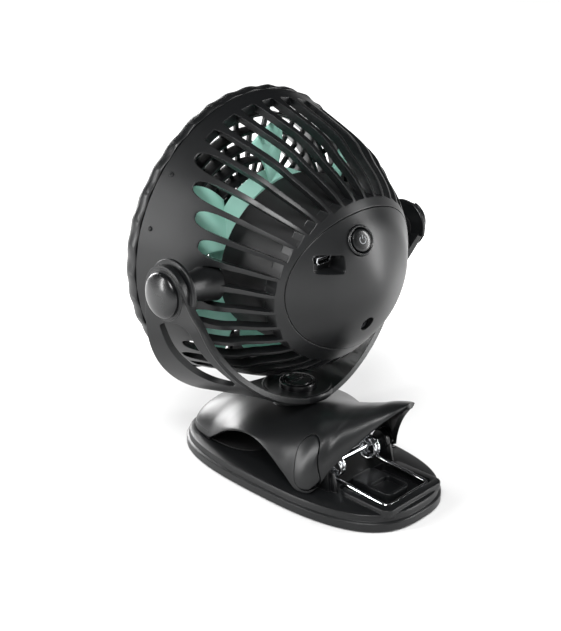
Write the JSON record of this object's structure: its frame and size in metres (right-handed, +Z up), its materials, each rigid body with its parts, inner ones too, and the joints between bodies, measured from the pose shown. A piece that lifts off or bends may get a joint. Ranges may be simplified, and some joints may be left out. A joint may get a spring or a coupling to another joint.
{
  "type": "clip fan",
  "caption": "Cordless clip-on fan: a round caged head with a domed rear housing, held in a tilting yoke that swivels on a spring clip with padded jaws.",
  "frame": {"origin": "middle of the clip's underside, on the surface it stands on", "axes": "+Z up; -Y the way the air is blown and the clip's mouth faces; +X across, along the tilt and hinge axes"},
  "size_m": [0.1626, 0.1326, 0.1716],
  "materials": {
    "black_plastic": "satin",
    "black_parts": "matt",
    "pads": "matt",
    "fan_wheel": "satin",
    "bright_steel": "bright",
    "dark_steel": "satin",
    "board": "satin",
    "cell_sleeve": "gloss"
  },
  "bodies": {
    "base": {"base_plate": "black_plastic", "base_pad": "pads", "hinge_pin": "bright_steel", "torsion_spring": "bright_steel"},
    "upper_jaw": {"top_jaw": "black_plastic", "nose_pad": "pads", "hinge_cover_left": "black_plastic", "hinge_cover_right": "black_plastic", "swivel_screw": "dark_steel"},
    "yoke": {"yoke": "black_plastic", "swivel_cap": "black_plastic", "swivel_washer": "bright_steel", "pivot_trim_left": "black_plastic", "pivot_trim_right": "black_plastic", "pivot_cap_left": "black_plastic", "pivot_cap_right": "black_plastic"},
    "head": {"rear_housing": "black_plastic", "front_grille": "black_plastic", "rear_cap": "black_plastic", "button_bezel": "black_plastic", "tact_switch": "black_parts", "usb_socket": "bright_steel", "usb_tongue": "black_parts", "cap_screw": "dark_steel", "circuit_board": "board", "battery_cell": "cell_sleeve", "cell_contact_left": "bright_steel", "cell_contact_right": "bright_steel", "motor_mount": "black_parts", "motor_can": "dark_steel", "motor_screw_upper": "dark_steel", "motor_screw_lower": "dark_steel", "plate_screw_left": "dark_steel", "plate_screw_right": "dark_steel", "friction_washer_left": "black_parts", "friction_washer_right": "black_parts", "pivot_screw_left": "dark_steel", "pivot_screw_right": "dark_steel"},
    "fan_wheel": {"impeller": "fan_wheel", "motor_shaft": "bright_steel"},
    "button": {"power_button": "black_plastic"}
  },
  "joints": [
    {"name": "clip_hinge", "type": "hinge", "parent": "base", "child": "upper_jaw", "pos_m": [0, 0.0269, 0.0172], "axis": [-1, 0, 0], "range_deg": [0, 28], "stiffness_Nm_per_rad": 0.5, "springref_deg": -34.38, "deforming": ["torsion_spring"]},
    {"name": "yoke_swivel", "type": "hinge", "parent": "upper_jaw", "child": "yoke", "pos_m": [0, -0.0071, 0.0361], "axis": [0, 0, 1], "range_deg": [-90, 90]},
    {"name": "head_tilt", "type": "hinge", "parent": "yoke", "child": "head", "pos_m": [0, -0.0071, 0.1006], "axis": [-1, 0, 0], "range_deg": [-4, 60]},
    {"name": "impeller_spin", "type": "hinge", "parent": "head", "child": "fan_wheel", "pos_m": [0, -0.0071, 0.1006], "axis": [0, 0.9923, -0.1236], "continuous": true},
    {"name": "button_press", "type": "slide", "parent": "head", "child": "button", "axis": [-0.1836, -0.915, -0.3591], "range_m": [0, 0.0007], "stiffness_N_per_m": 1500}
  ]
}
